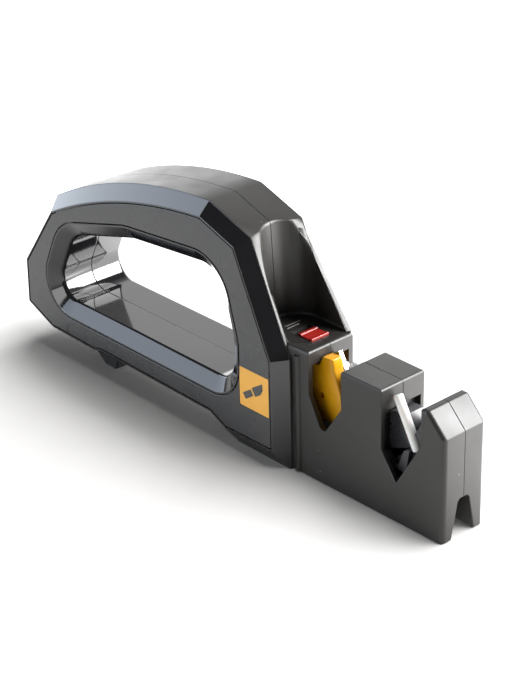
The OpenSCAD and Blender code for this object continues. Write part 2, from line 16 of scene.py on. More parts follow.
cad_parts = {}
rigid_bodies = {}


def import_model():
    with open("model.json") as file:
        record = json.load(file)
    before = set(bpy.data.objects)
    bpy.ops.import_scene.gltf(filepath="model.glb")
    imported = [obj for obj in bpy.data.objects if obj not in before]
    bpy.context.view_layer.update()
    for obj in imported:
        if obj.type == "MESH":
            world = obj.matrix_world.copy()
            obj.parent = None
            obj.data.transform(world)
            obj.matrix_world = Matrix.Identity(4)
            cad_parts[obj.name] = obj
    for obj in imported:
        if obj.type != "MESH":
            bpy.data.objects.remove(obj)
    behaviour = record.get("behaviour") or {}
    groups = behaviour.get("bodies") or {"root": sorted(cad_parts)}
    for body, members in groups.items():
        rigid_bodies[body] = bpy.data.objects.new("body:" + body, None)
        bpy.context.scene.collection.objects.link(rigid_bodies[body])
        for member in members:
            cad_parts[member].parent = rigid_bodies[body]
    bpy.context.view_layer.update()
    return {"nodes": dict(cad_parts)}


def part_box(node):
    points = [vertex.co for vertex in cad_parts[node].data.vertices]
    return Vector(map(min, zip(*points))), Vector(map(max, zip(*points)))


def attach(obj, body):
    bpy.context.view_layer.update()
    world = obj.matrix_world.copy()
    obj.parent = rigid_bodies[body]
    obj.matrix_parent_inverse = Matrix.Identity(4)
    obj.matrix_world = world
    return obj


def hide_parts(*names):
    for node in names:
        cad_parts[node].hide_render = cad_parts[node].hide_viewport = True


for default_object in list(bpy.data.objects):
    bpy.data.objects.remove(default_object)
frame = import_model()
MM = 0.001
print("solids in the frame:", len(frame["nodes"]))

# %% [markdown]
# ## Corners of the grip
# Seen from the side, the grip is two many-sided outlines, one for the spine and one for the panel, round
# an opening for the hand. They could be traced as curves by hand. Here they are lists of corners, the
# same ones as those of the solids, so that the dressed grip fits its solids to a hair.

# %% Corners of the grip
ROOT_X = 47.6        # front of the grip


def grip(x, z):
    return Vector((ROOT_X + x, z))


SPINE_FRONT = [grip(0, 0), grip(0, 51.3), grip(-21.9, 98.7), grip(-46.5, 107.3)]
SPINE_REAR = [grip(-153, 78.5), grip(-177.6, 43), grip(-178.1, 19.5), grip(-159.6, 8.8), grip(-125, 8.8),
              grip(-119, 8.8), grip(-45.6, 8.8), grip(-33.6, 0)]
PANEL_FRONT = [grip(-4.6, 8.9), grip(-4.6, 50.9), grip(-24.9, 95.3), grip(-45.5, 102.5)]
PANEL_REAR = [grip(-150.4, 72.8), grip(-172.8, 42.4), grip(-173.6, 20.6), grip(-156, 13.2),
              grip(-125, 12.6), grip(-119, 14.0), grip(-44, 12.8), grip(-34.2, 8.4)]
SPINE_SAG, PANEL_SAG = 6.6, 5.8    # how far the long top arcs stand out
OPENING = [(grip(-140.6, 39.6), 16.0), (grip(-42.2, 40.6), 17.0), (grip(-49, 49.6), 24.0),
           (grip(-49.2, 66), 20.0), (grip(-92.2, 57.2), 25.0), (grip(-127, 48.3), 24.5)]
print("corners of spine and panel, circles of the opening:", len(SPINE_FRONT + SPINE_REAR),
      len(PANEL_FRONT + PANEL_REAR), len(OPENING))

# %% [markdown]
# ## Arcs, insets and rounded corners
# A moulded corner is never sharp, so each corner becomes a short arc. A curve object can round its own
# corners too, but it doesn't promise the same number of points at every depth. These few functions do:
# an outline is moved inwards first and rounded afterwards, and all its copies stay in step.

# %% Outline tools
CORNER_STEPS = 4     # straight pieces in a rounded corner


def arc_between(a, b, sag, count):
    """Points of a shallow arc from a to b, ends left out."""
    half, middle, along = (b - a).length / 2, (a + b) / 2, (b - a).normalized()
    radius = (half * half + sag * sag) / (2 * sag)
    side = Vector((along.y, -along.x))
    steps = [half * (2 * i / (count + 1) - 1) for i in range(1, count + 1)]
    return [middle + along * s + side * (math.sqrt(radius * radius - s * s) - radius + sag) for s in steps]


def inset(points, depth):
    """A closed outline moved inwards by depth."""
    moved = []
    for i, p in enumerate(points):
        u = (p - points[i - 1]).normalized()
        v = (points[(i + 1) % len(points)] - p).normalized()
        a, b = Vector((-u.y, u.x)), Vector((-v.y, v.x))
        moved.append(p + (a + b) * (depth / (1 + a.dot(b))))
    return moved


def turned(v, angle):
    c, s = math.cos(angle), math.sin(angle)
    return Vector((v.x * c - v.y * s, v.x * s + v.y * c))


def rounded(points, radii):
    """Each corner with a radius becomes an arc of the same number of points."""
    out = []
    for i, (p, radius) in enumerate(zip(points, radii)):
        u = (p - points[i - 1]).normalized()
        v = (points[(i + 1) % len(points)] - p).normalized()
        turn = math.atan2(u.x * v.y - u.y * v.x, u.dot(v))
        if radius <= 0:
            out.append(p)
            continue
        start = p - u * (radius * math.tan(abs(turn) / 2))
        arm = Vector((u.y, -u.x)) * math.copysign(radius, turn)
        centre = start - arm
        out += [centre + turned(arm, turn * k / CORNER_STEPS) for k in range(CORNER_STEPS + 1)]
    return out


square = [Vector(p) for p in ((0, 0), (10, 0), (10, 10), (0, 10))]
print("points of a square with rounded corners:", len(rounded(square, [1] * 4)))

# %% [markdown]
# ## Outlines of spine, panel and opening
# The spine and the panel share one recipe: front corners, a long shallow arc on top, rear corners. The
# opening has no sharp corners at all, so it is a line drawn tight round six circles, like a belt round
# pulleys. A smooth curve through a few points would be close, but growing the circles also moves the belt
# outwards evenly, which the rims of the opening need.

# %% Outlines
CORNER_R, LEAST_R = 1.3, 0.3    # moulded corner of the side outlines, and what is left of it further in
ARC_STEPS = 26                  # points on a long top arc
BELT_STEP = math.radians(5)     # largest turn from point to point round the opening


def side_outline(front, rear, sag, depth=0.0):
    """Front corners, the long top arc and rear corners as one closed outline, moved inwards by depth."""
    arc = arc_between(front[-1], rear[0], sag, ARC_STEPS)
    radius = max(LEAST_R, CORNER_R - depth)
    radii = [radius] * len(front) + [0] * len(arc) + [radius] * len(rear)
    return rounded(inset(front + arc + rear, depth), radii)


def spine(depth=0.0):
    return side_outline(SPINE_FRONT, SPINE_REAR, SPINE_SAG, depth)


def panel(depth=0.0):
    return side_outline(PANEL_FRONT, PANEL_REAR, PANEL_SAG, depth)


def touch(a, b):
    """Direction of the line that touches two circles, each (centre, radius)."""
    d = b[0] - a[0]
    return math.atan2(d.y, d.x) - math.acos((a[1] - b[1]) / d.length)


def opening(grow):
    """Outline drawn tight round the circles of the hand opening, grown by grow."""
    out = []
    for i, (centre, radius) in enumerate(OPENING):
        start = touch(OPENING[i - 1], OPENING[i])
        turn = (touch(OPENING[i], OPENING[(i + 1) % len(OPENING)]) - start) % math.tau
        count = max(2, math.ceil(turn / BELT_STEP))
        angles = [start + turn * k / count for k in range(count + 1)]
        out += [centre + Vector((math.cos(t), math.sin(t))) * (radius + grow) for t in angles]
    return out


print("points of spine, panel and opening:", len(spine()), len(panel()), len(opening(0)))

# %% [markdown]
# ## Rings, shells and plates
# A ring is an outline at one depth across the object. Rings joined by faces make a shell, and a few rings
# along an arc make a rounded edge. Extruding and bevelling a face gives nearly the same, but here each
# edge loop lies where it is wanted, and smooth shading follows those loops.

# %% Rings and plates


def ring(outline, y):
    return [Vector((p.x, y, p.y)) for p in outline]


def stack(bm, rings):
    """Joins rings of equal count by faces and returns their vertices."""
    rows = [[bm.verts.new(p) for p in points] for points in rings]
    for a, b in zip(rows, rows[1:]):
        for i in range(len(a)):
            j = (i + 1) % len(a)
            bm.faces.new((a[i], a[j], b[j], b[i]))
    return rows


def closed_stack(bm, rings):
    """A stack with a face over each end."""
    rows = stack(bm, rings)
    bm.faces.new(rows[0])
    bm.faces.new(rows[-1])


def fill_between(bm, *loops):
    """Fills the flat space between loops of vertices."""
    edges = []
    for loop in loops:
        for i in range(len(loop)):
            pair = (loop[i - 1], loop[i])
            edges.append(bm.edges.get(pair) or bm.edges.new(pair))
    bmesh.ops.triangle_fill(bm, use_beauty=True, edges=edges)


def round_edge(radius, steps=3):
    """(inwards, back) pairs along a quarter-round, from the side wall to the top face."""
    angles = [math.pi / 2 * k / steps for k in range(steps + 1)]
    return [(radius * (1 - math.cos(a)), radius * (1 - math.sin(a))) for a in angles]


def rounded_plate(bm, outline, y0, y1, radius):
    """A plate with rounded edges. outline is a function of how far it is moved inwards."""
    low = [ring(outline(i), y0 + back) for i, back in reversed(round_edge(radius))]
    high = [ring(outline(i), y1 - back) for i, back in round_edge(radius)]
    closed_stack(bm, low + high)


print("rings on a rounded edge:", len(round_edge(1.0)))

# %% [markdown]
# ## Clean copies of solids
# A piece whose shape comes straight from its solid starts from a clean copy of it, with doubled points
# merged and flat faces whole again. A rule then looks at every sharp edge and gives it a rounding of its
# own, kept as a bevel weight. One bevel can then round narrow and wide edges together, so they meet in
# clean corners, which several bevels in a row would tear.

# %% Copies of solids
SHARP = math.radians(25)     # edges that bend more than this may be rounded
WIDEST = 4.0                 # an edge of weight 1 is rounded this far, mm
DOUBLED = 2e-6               # points closer than this are one, m
FLAT = math.radians(0.3)     # faces that bend less than this are one
WEIGHT = "bevel_weight_edge"


def solid_copy(node):
    """A clean copy of a solid's mesh, in millimetres, with flat faces whole again."""
    bm = bmesh.new()
    bm.from_mesh(frame["nodes"][node].data)
    bmesh.ops.remove_doubles(bm, verts=bm.verts, dist=DOUBLED)
    bmesh.ops.dissolve_limit(bm, angle_limit=FLAT, verts=bm.verts, edges=bm.edges)
    bmesh.ops.scale(bm, vec=(1 / MM,) * 3, verts=bm.verts)
    return bm


def weigh_edges(bm, width_of):
    """Marks each sharp edge with its own rounding in millimetres, for the bevel of add_piece."""
    weight = bm.edges.layers.float.new(WEIGHT)
    marked = 0
    for edge in bm.edges:
        if not edge.is_manifold:
            continue
        bend = edge.calc_face_angle_signed()
        if abs(bend) > SHARP:
            width = width_of(edge.verts[0].co, edge.verts[1].co, bend > 0)
            edge[weight] = width / WIDEST
            marked += width > 0
    return marked


sample = solid_copy("rear_foot")
print("faces of the foot's clean copy:", len(sample.faces))
sample.free()

# %% [markdown]
# ## Pieces in the scene
# Every piece ends the same way, so one function does it. Faces are turned outwards and shaded smooth, and
# edges that stay unrounded are marked crisp. A bevel modifier reads the weights, and weighted normals
# keep flat faces flat beside their rounded edges. Then the piece rides on its body and stands for its
# solids.

# %% Pieces
CRISP = math.radians(40)     # edges that bend more than this and stay unrounded are shaded crisp


def add_piece(bm, name, body, material, nodes=(), steps=0):
    """Puts a mesh into the scene: smooth shading, riding on its body, standing for its solids."""
    bmesh.ops.recalc_face_normals(bm, faces=bm.faces)
    if bm.calc_volume(signed=True) < 0:
        bmesh.ops.reverse_faces(bm, faces=bm.faces)
    weight = bm.edges.layers.float.get(WEIGHT)
    for edge in bm.edges:
        if edge.is_manifold and edge.calc_face_angle() > CRISP:
            edge.smooth = bool(weight and edge[weight] > 0)
    bmesh.ops.scale(bm, vec=(MM,) * 3, verts=bm.verts)
    mesh = bpy.data.meshes.new(name)
    bm.to_mesh(mesh)
    bm.free()
    for polygon in mesh.polygons:
        polygon.use_smooth = True
    mesh.materials.append(material)
    piece = bpy.data.objects.new(name, mesh)
    bpy.context.scene.collection.objects.link(piece)
    if steps:
        edges = piece.modifiers.new("moulded edges", "BEVEL")
        edges.limit_method = "WEIGHT"
        edges.width = WIDEST * MM
        edges.segments = steps
        edges.use_clamp_overlap = False
        edges.loop_slide = False
    weighted = piece.modifiers.new("flat faces stay flat", "WEIGHTED_NORMAL")
    weighted.keep_sharp = True
    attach(piece, body)
    if nodes:
        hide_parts(*nodes)
    return piece


print("crisp from, degrees:", round(math.degrees(CRISP)))

# %% [markdown]
# ## A recipe for materials
# Blender's materials are trees of nodes. They can be drawn in the shader editor, but a script needs a
# short way to say the same. A recipe holds one tree round a principled shader, and makes, sets and links
# its nodes in short calls. Numbers that are the same all over a surface go straight to the shader.

# %% Recipe


def colour(r, g, b):
    return (r, g, b, 1.0)


class Recipe:
    """A material under construction, with short calls for the nodes that it needs."""

    def __init__(self, name, base, roughness, metallic=0.0):
        self.material = bpy.data.materials.new(name)
        self.material.use_nodes = True
        self.tree = self.material.node_tree
        self.shader = self.tree.nodes["Principled BSDF"]
        self.set(Base_Color=base, Roughness=roughness, Metallic=metallic)
        self.material.diffuse_color = base
        self.place = self.node("ShaderNodeTexCoord").outputs["Object"]

    def set(self, **sockets):
        for key, value in sockets.items():
            self.shader.inputs[key.replace("_", " ")].default_value = value
        return self

    def node(self, kind, **settings):
        made = self.tree.nodes.new(kind)
        for key, value in settings.items():
            if hasattr(made, key):
                setattr(made, key, value)
            else:
                made.inputs[key].default_value = value
        return made

    def link(self, a, b):
        self.tree.links.new(a, b)

    def combine(self, operation, a, b):
        """A math node fed by two sockets."""
        made = self.node("ShaderNodeMath", operation=operation)
        self.link(a, made.inputs[0])
        self.link(b, made.inputs[1])
        return made.outputs[0]


print("white, as a shader takes it:", colour(1, 1, 1))

# %% [markdown]
# ## Noise and mixing
# Most finishes are a spread of values or a mix of two colours, steered by noise. Noise is often laid out
# by a UV map, but that has to be unwrapped for each mesh. Here all noise reads the object's own
# coordinates, so its size is given in millimetres and it stays in place when a piece moves.

# %% Noise and mixing
NOISE_LOW, NOISE_HIGH = 0.3, 0.7          # most of a noise lies between these
MIX_A, MIX_B, MIX_RESULT = 6, 7, 2        # sockets of a Mix node that mixes colours


class Pattern(Recipe):
    """A recipe that can spread and mix values by noise."""

    def noise(self, size, detail=2.0, stretch=(1, 1, 1)):
        """Noise whose features are about size millimetres across."""
        mapping = self.node("ShaderNodeMapping", Scale=stretch)
        self.link(self.place, mapping.inputs["Vector"])
        made = self.node("ShaderNodeTexNoise", Scale=1 / (size * MM), Detail=detail)
        self.link(mapping.outputs["Vector"], made.inputs["Vector"])
        return made.outputs["Fac"]

    def spread(self, source, low, high, start=NOISE_LOW, end=NOISE_HIGH):
        made = self.node("ShaderNodeMapRange")
        for key, value in (("From Min", start), ("From Max", end), ("To Min", low), ("To Max", high)):
            made.inputs[key].default_value = value
        self.link(source, made.inputs["Value"])
        return made.outputs["Result"]

    def mix_colour(self, factor, a, b):
        made = self.node("ShaderNodeMix", data_type="RGBA")
        self.link(factor, made.inputs["Factor"])
        for value, socket in ((a, made.inputs[MIX_A]), (b, made.inputs[MIX_B])):
            if isinstance(value, tuple):
                socket.default_value = value
            else:
                self.link(value, socket)
        return made.outputs[MIX_RESULT]


print("noise is spread from", NOISE_LOW, "to", NOISE_HIGH)

# %% [markdown]
# ## Traits of a surface
# What tells a real surface from a flat colour is small and uneven. Slow noise shifts the colour and the
# gloss a little, as mould flow and handling do. Fast noise is the grain of the mould, a bump of a few
# hundredths of a millimetre. A sparse cell pattern leaves the odd speck of dust. Image textures would do
# all this as well, but noise has no seams and no size limit.

# %% Finish
GLOSS_PATCH, GLOSS_DETAIL = 14.0, 4.0
COLOUR_PATCH, COLOUR_DETAIL = 25.0, 3.0
DUST = colour(0.35, 0.34, 0.32)
DUST_CORE = 0.5              # share of a speck that is fully dusty
DUST_PATCH = 4               # dusty places are this many speck spacings across
DUST_SOME = (0.55, 0.62)     # noise at which specks begin to show, and at which all do


class Finish(Pattern):
    """A recipe with the traits of moulded, ground and printed surfaces."""

    def vary_colour(self, a, b, size=COLOUR_PATCH):
        self.base = self.mix_colour(self.spread(self.noise(size, COLOUR_DETAIL), 0, 1), a, b)
        self.link(self.base, self.shader.inputs["Base Color"])
        return self

    def vary_gloss(self, low, high, size=GLOSS_PATCH):
        self.link(self.spread(self.noise(size, GLOSS_DETAIL), low, high), self.shader.inputs["Roughness"])
        return self

    def grain(self, size, depth, detail=2.0, stretch=(1, 1, 1)):
        """A bump of noise, size across and depth deep, in millimetres."""
        made = self.node("ShaderNodeBump", Strength=1.0, Distance=depth * MM)
        self.link(self.noise(size, detail, stretch), made.inputs["Height"])
        self.link(made.outputs["Normal"], self.shader.inputs["Normal"])
        return self

    def dust(self, spacing, reach):
        """Specks on some cells of a cell pattern, spacing millimetres apart."""
        cells = self.node("ShaderNodeTexVoronoi", Scale=1 / (spacing * MM))
        self.link(self.place, cells.inputs["Vector"])
        near = self.spread(cells.outputs["Distance"], 1, 0, reach * DUST_CORE, reach)
        some = self.spread(self.noise(spacing * DUST_PATCH, 1.0), 0, 1, *DUST_SOME)
        self.base = self.mix_colour(self.combine("MULTIPLY", near, some), self.base, DUST)
        self.link(self.base, self.shader.inputs["Base Color"])
        return self


print("slow patches of colour and gloss, mm:", COLOUR_PATCH, GLOSS_PATCH)

# %% [markdown]
# ## Plastics of the grip
# The nose and the spine are spark-textured, so their grain is deep enough to blur what they reflect. The
# covers are polished and show only the slow waves of a moulding. The panels are satin, between the two.
# Roughness alone could set the three apart, but a bump also breaks up the highlights as a mould does.

# %% Plastics of the grip
CHARCOAL, CHARCOAL_2 = colour(0.021, 0.020, 0.018), colour(0.017, 0.016, 0.015)
POLISHED, POLISHED_2 = colour(0.006, 0.006, 0.007), colour(0.009, 0.009, 0.010)
SATIN, SATIN_2 = colour(0.026, 0.027, 0.029), colour(0.031, 0.032, 0.034)

body_finish = (Finish("textured charcoal", CHARCOAL, 0.42).vary_colour(CHARCOAL, CHARCOAL_2)
               .vary_gloss(0.36, 0.46).grain(size=0.35, depth=0.018, detail=3.0)
               .dust(spacing=5.0, reach=0.05)).material
cover_finish = (Finish("polished black", POLISHED, 0.08).vary_colour(POLISHED, POLISHED_2)
                .vary_gloss(0.05, 0.10).grain(size=9.0, depth=0.006, detail=1.0)
                .dust(spacing=9.0, reach=0.03).set(IOR=1.7)).material
panel_finish = (Finish("satin panel", colour(0.028, 0.029, 0.031), 0.28).vary_colour(SATIN, SATIN_2)
                .vary_gloss(0.25, 0.31).grain(size=0.25, depth=0.003)
                .dust(spacing=9.0, reach=0.03).set(IOR=1.65)).material
print("materials:", len(bpy.data.materials))

# %% [markdown]
# ## Small plastics, print and rubber
# The badge, the button and the carriages are coloured plastics with a fine grain. Light enters the yellow
# one a little, so it gets some subsurface scattering. Print is a thin, nearly matt ink, and the foot is
# dull rubber. Each has its own patch size, since a small piece needs smaller patches to look uneven.

# %% Small plastics
badge_finish = (Finish("yellow plate", colour(0.84, 0.43, 0.07), 0.38)
                .vary_colour(colour(0.84, 0.43, 0.07), colour(0.80, 0.40, 0.06), 6.0)
                .vary_gloss(0.34, 0.42).grain(size=0.3, depth=0.004)).material
mark_finish = (Finish("dark print", colour(0.055, 0.055, 0.052), 0.5)
               .vary_colour(colour(0.055, 0.055, 0.052), colour(0.075, 0.074, 0.07), 2.0)
               .vary_gloss(0.45, 0.55, 3.0)).material
pale_finish = (Finish("pale print", colour(0.42, 0.42, 0.41), 0.5)
               .vary_colour(colour(0.45, 0.45, 0.44), colour(0.30, 0.30, 0.29), 1.0)
               .vary_gloss(0.45, 0.55, 3.0)).material
rubber_finish = (Finish("rubber", colour(0.010, 0.010, 0.010), 0.8)
                 .vary_colour(colour(0.009, 0.009, 0.009), colour(0.014, 0.014, 0.014), 4.0)
                 .vary_gloss(0.75, 0.85).grain(size=0.3, depth=0.02)).material
red_finish = (Finish("red plastic", colour(0.27, 0.014, 0.010), 0.3)
              .vary_colour(colour(0.28, 0.015, 0.011), colour(0.25, 0.013, 0.009), 3.0)
              .vary_gloss(0.24, 0.34, 3.0).grain(size=0.3, depth=0.006)).material
yellow_finish = (Finish("yellow plastic", colour(0.66, 0.32, 0.003), 0.35)
                 .vary_colour(colour(0.66, 0.32, 0.003), colour(0.62, 0.29, 0.002), 5.0)
                 .vary_gloss(0.28, 0.4, 5.0).grain(size=0.4, depth=0.006)
                 .set(Subsurface_Weight=0.15, Subsurface_Scale=0.002)).material
black_finish = (Finish("satin black carriage", colour(0.030, 0.030, 0.034), 0.3)
                .vary_colour(colour(0.028, 0.028, 0.032), colour(0.036, 0.036, 0.040), 5.0)
                .vary_gloss(0.26, 0.36, 4.0).grain(size=0.4, depth=0.004)).material
inner_finish = (Finish("inner plastic", colour(0.03, 0.03, 0.032), 0.5)
                .vary_colour(colour(0.03, 0.03, 0.032), colour(0.04, 0.04, 0.042), 6.0)
                .vary_gloss(0.45, 0.55)).material
print("materials:", len(bpy.data.materials))

# %% [markdown]
# ## Metals and ceramic
# The cutters are ground carbide, and grinding leaves fine parallel scratches. Springs, pins and screws
# are plated steel with faint marks of turning. Both come from noise that is squeezed along one axis, so
# that it makes lines across it. An anisotropic shader would blur the highlights in the same way, but it
# shows no lines. The ceramic rods are pale and dense, and let light in a little.

# %% Metals and ceramic
GROUND, TURNING = (1, 1, 12), (8, 1, 1)    # noise is squeezed along Z or X this many times

carbide_finish = (Finish("ground carbide", colour(0.62, 0.62, 0.63), 0.3, metallic=1.0)
                  .vary_colour(colour(0.66, 0.66, 0.67), colour(0.54, 0.54, 0.56), 2.0)
                  .vary_gloss(0.22, 0.36, 1.5).grain(size=0.25, depth=0.006, stretch=GROUND)).material
steel_finish = (Finish("plated steel", colour(0.55, 0.56, 0.58), 0.32, metallic=1.0)
                .vary_colour(colour(0.58, 0.59, 0.61), colour(0.48, 0.48, 0.49), 3.0)
                .vary_gloss(0.25, 0.4, 2.0).grain(size=0.3, depth=0.004, stretch=TURNING)).material
ceramic_finish = (Finish("fine ceramic", colour(0.92, 0.91, 0.87), 0.42)
                  .vary_colour(colour(0.93, 0.92, 0.88), colour(0.88, 0.87, 0.82), 3.0)
                  .vary_gloss(0.36, 0.5, 2.0).grain(size=0.15, depth=0.004)
                  .set(Subsurface_Weight=0.2, Subsurface_Scale=0.0015)).material
print("materials:", len(bpy.data.materials))

# %% [markdown]
# ## Profile of a cover
# A cover is a polished shell. Its bevel runs from the spine to the rim of the panel's recess, and its
# inside runs from that recess over a chamfer, round a full edge, to the parting line in the hand opening.
# A bevel modifier could round these edges, but with one shape for all. Here each rounding is a few pairs
# of numbers, so a highlight can be wide on one edge and fine on the next.

# %% Profile of a cover
GRIP_Y = 20.5        # half width over the panels
SPINE_Y = 14.0       # half width of the spine
BACK_Y = 17.3        # back of the cover's web
PANEL_T = 1.5        # thickness of the panel and depth of its recess
LAND = 0.7           # flat land between the recess and the bevel
LEDGE = 1.2          # how far the recess's floor is drawn under the panel
TUCK = 6.0           # how far the shell's hidden back is drawn in
RIM_IN = 6.4         # chamfer of the hand opening, seen from the side
RIM_Y = 4.0          # depth of that chamfer
SLEEVE_T = 2.2       # sleeve that lines the hand opening
EDGE_R = 2.5         # full edge between the chamfer and the sleeve
EDGE_STEPS = 6
SEAM_R = 0.25        # rounding at the seams
BEVEL_AT = (0.06, 0.92, 0.97)                              # rings on the bevel, from the spine to the rim
RIM_ROUND = ((0.05, 0.07), (0.14, 0.02), (0.26, 0))        # (inwards, back) from the bevel to the land
LIP_ROUND = ((0.1, 0), (0.03, 0.03), (0, 0.1))             # (outwards, back) from the land to the recess
CHAMFER_ROUND = ((0.25, 0), (0.06, 0.03), (-0.2, 0.14))    # (outwards, back) from the land to the chamfer
SEAM_ROUND = ((0, -0.4), (0.06, -0.14), (0.2, -0.05))      # (outwards, y) at the parting line


def bevel_ring(t):
    """A ring on the bevel, at t from the spine to the rim."""
    return [p.lerp(q, t) for p, q in zip(ring(spine(), -SPINE_Y), ring(panel(), -GRIP_Y))]


def full_edge():
    """Points of the round edge between the chamfer and the sleeve, as (grow, y)."""
    chamfer = Vector((-RIM_IN, RIM_Y)).normalized()
    bend = math.acos(chamfer.y)
    start = Vector((-RIM_IN, RIM_Y - GRIP_Y)) - chamfer * (EDGE_R * math.tan(bend / 2))
    arm = Vector((-chamfer.y, chamfer.x)) * EDGE_R
    return [tuple(start - arm + turned(arm, -bend * k / EDGE_STEPS)) for k in range(EDGE_STEPS + 1)]


print("points of the full edge:", len(full_edge()))

# %% [markdown]
# ## Grip covers
# Each cover is two stacks of rings, one outside and one round the opening, with close rings wherever an
# edge is rounded. Flat faces fill what lies between them: the floor of the recess, and the hidden back.
# Sculpting a shell would lose the even highlights along its edges. The left cover is drawn, and the right
# one is its mirror image.

# %% Covers


def cover_mesh():
    bm = bmesh.new()
    floor_y = PANEL_T - GRIP_Y
    outer = [ring(spine(TUCK), -BACK_Y), ring(spine(TUCK), -SPINE_Y)]
    outer += [ring(spine(i), -SPINE_Y - back) for i, back in reversed(round_edge(SEAM_R))]
    outer += [bevel_ring(t) for t in BEVEL_AT]
    outer += [ring(panel(i), back - GRIP_Y) for i, back in RIM_ROUND]
    outer += [ring(panel(LAND - i), back - GRIP_Y) for i, back in LIP_ROUND]
    outer += [ring(panel(LAND), floor_y), ring(panel(LAND + LEDGE), floor_y)]
    path = [(LAND + LEDGE, floor_y), (LAND, floor_y)]
    path += [(LAND - i, back - GRIP_Y) for i, back in reversed(LIP_ROUND)]
    path += [(out, back - GRIP_Y) for out, back in CHAMFER_ROUND]
    path += full_edge()
    path += [(out - RIM_IN, y) for out, y in SEAM_ROUND]
    path += [(SLEEVE_T - RIM_IN, SEAM_ROUND[-1][1]), (SLEEVE_T - RIM_IN, -BACK_Y)]
    outer_rows = stack(bm, outer)
    inner_rows = stack(bm, [ring(opening(grow), y) for grow, y in path])
    fill_between(bm, outer_rows[-1], inner_rows[0])
    fill_between(bm, outer_rows[0], inner_rows[-1])
    return bm


def mirrored(bm):
    bmesh.ops.scale(bm, vec=(1, -1, 1), verts=bm.verts)
    bmesh.ops.reverse_faces(bm, faces=bm.faces)
    return bm


left_cover = add_piece(cover_mesh(), "left_cover_shell", "base", cover_finish, ["left_grip_cover"])
right_cover = add_piece(mirrored(cover_mesh()), "right_cover_shell", "base", cover_finish,
                        ["right_grip_cover"])
print("cover faces:", len(left_cover.data.polygons), len(right_cover.data.polygons))

# %% [markdown]
# ## Side panels
# A panel is a satin plate in the recess, with a dark gap line all round and softly rounded edges. A line
# painted by a material would stay flat in every light, so the gap is a real one. The left panel also has
# a square pocket for the badge, and both have a short seam in the lower bar, so the face is filled
# between several loops.

# %% Panels
GAP = 0.5                    # gap line round the panel
PANEL_EDGE = 0.3             # rounding of the panel's edges
BADGE_GAP = 0.12             # gap line round the badge
BADGE_CORNER = 0.4
POCKET_SPARE = 0.05          # how much deeper the pocket is than the badge
SEAM_TOP, SEAM_LOW = Vector((-95.9, 19.0)), Vector((-96.8, 14.4))    # short seam in the lower bar
SEAM_W, SEAM_DEPTH = 0.45, 0.4
badge_low, badge_high = [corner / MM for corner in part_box("badge")]


def badge_square(grow):
    """Outline of the badge, grown by grow, with slightly rounded corners."""
    x0, x1 = badge_low.x - grow, badge_high.x + grow
    z0, z1 = badge_low.z - grow, badge_high.z + grow
    corners = [Vector((x1, z0)), Vector((x1, z1)), Vector((x0, z1)), Vector((x0, z0))]
    return rounded(corners, [BADGE_CORNER] * len(corners))


def seam_slot():
    half = Vector((SEAM_W / 2, 0))
    return [SEAM_LOW - half, SEAM_LOW + half, SEAM_TOP + half, SEAM_TOP - half]


def pocket(bm, outline, floor_y):
    """Walls and floor of a pocket in the panel's face. Returns the loop at the face."""
    rows = stack(bm, [ring(outline, y) for y in (-GRIP_Y, floor_y)])
    bm.faces.new(rows[-1])
    return rows[0]


def panel_mesh(with_badge):
    bm = bmesh.new()
    back_y = PANEL_T - GRIP_Y
    edge = list(reversed(round_edge(PANEL_EDGE)))
    outer = [ring(panel(LAND + GAP + i), back - GRIP_Y) for i, back in edge]
    inner = [ring(opening(LAND + GAP + i), back - GRIP_Y) for i, back in edge]
    outer_rows = stack(bm, outer + [ring(panel(LAND + GAP), back_y)])
    inner_rows = stack(bm, inner + [ring(opening(LAND + GAP), back_y)])
    loops = [outer_rows[0], inner_rows[0], pocket(bm, seam_slot(), SEAM_DEPTH - GRIP_Y)]
    if with_badge:
        loops.append(pocket(bm, badge_square(BADGE_GAP), badge_high.y + POCKET_SPARE))
    fill_between(bm, *loops)
    fill_between(bm, outer_rows[-1], inner_rows[-1])
    return bm


left_panel = add_piece(panel_mesh(True), "left_panel_plate", "base", panel_finish, ["left_side_panel"])
right_panel = add_piece(mirrored(panel_mesh(False)), "right_panel_plate", "base", panel_finish,
                        ["right_side_panel"])
print("panel faces:", len(left_panel.data.polygons), len(right_panel.data.polygons))

# %% [markdown]
# ## Badge
# The badge is a thin yellow plate in its pocket, a touch lower than the panel. The print on it is a plain
# sign of a knife. A text or image could be laid on by a texture, but a film of a few hundredths of a
# millimetre, drawn from a few points, stays sharp at any distance.

# %% Badge
BADGE_SINK = 0.06            # how far the badge lies below the panel's face
BADGE_EDGE = 0.08
FILM, FILM_BED = 0.03, 0.01  # how far print stands out, and how far it reaches into what carries it
PRINT_CORNER = 0.3
KNIFE_TURN = math.radians(33)
HANDLE = [(-7.4, -1.5), (-1.5, -1.5), (-1.5, 1.5), (-7.4, 1.5)]
BLADE = [(-0.6, -2.1), (3.4, -2.1), (5.8, -0.9), (7.4, 1.9), (-0.6, 1.9)]
badge_middle = Vector(((badge_low.x + badge_high.x) / 2, (badge_low.z + badge_high.z) / 2))
badge_face = BADGE_SINK - GRIP_Y

badge_bm = bmesh.new()
rounded_plate(badge_bm, lambda depth: badge_square(-depth), badge_face, badge_high.y, BADGE_EDGE)
add_piece(badge_bm, "badge_plate", "base", badge_finish, ["badge"])
for name, shape in (("badge_handle_print", HANDLE), ("badge_blade_print", BLADE)):
    corners = [badge_middle + turned(Vector(p), KNIFE_TURN) for p in shape]
    soft = rounded(corners, [PRINT_CORNER] * len(corners))
    print_bm = bmesh.new()
    closed_stack(print_bm, [ring(soft, badge_face + y) for y in (FILM_BED, -FILM)])
    add_piece(print_bm, name, "base", mark_finish)
print("badge, mm:", [round(c, 2) for c in badge_high - badge_low])

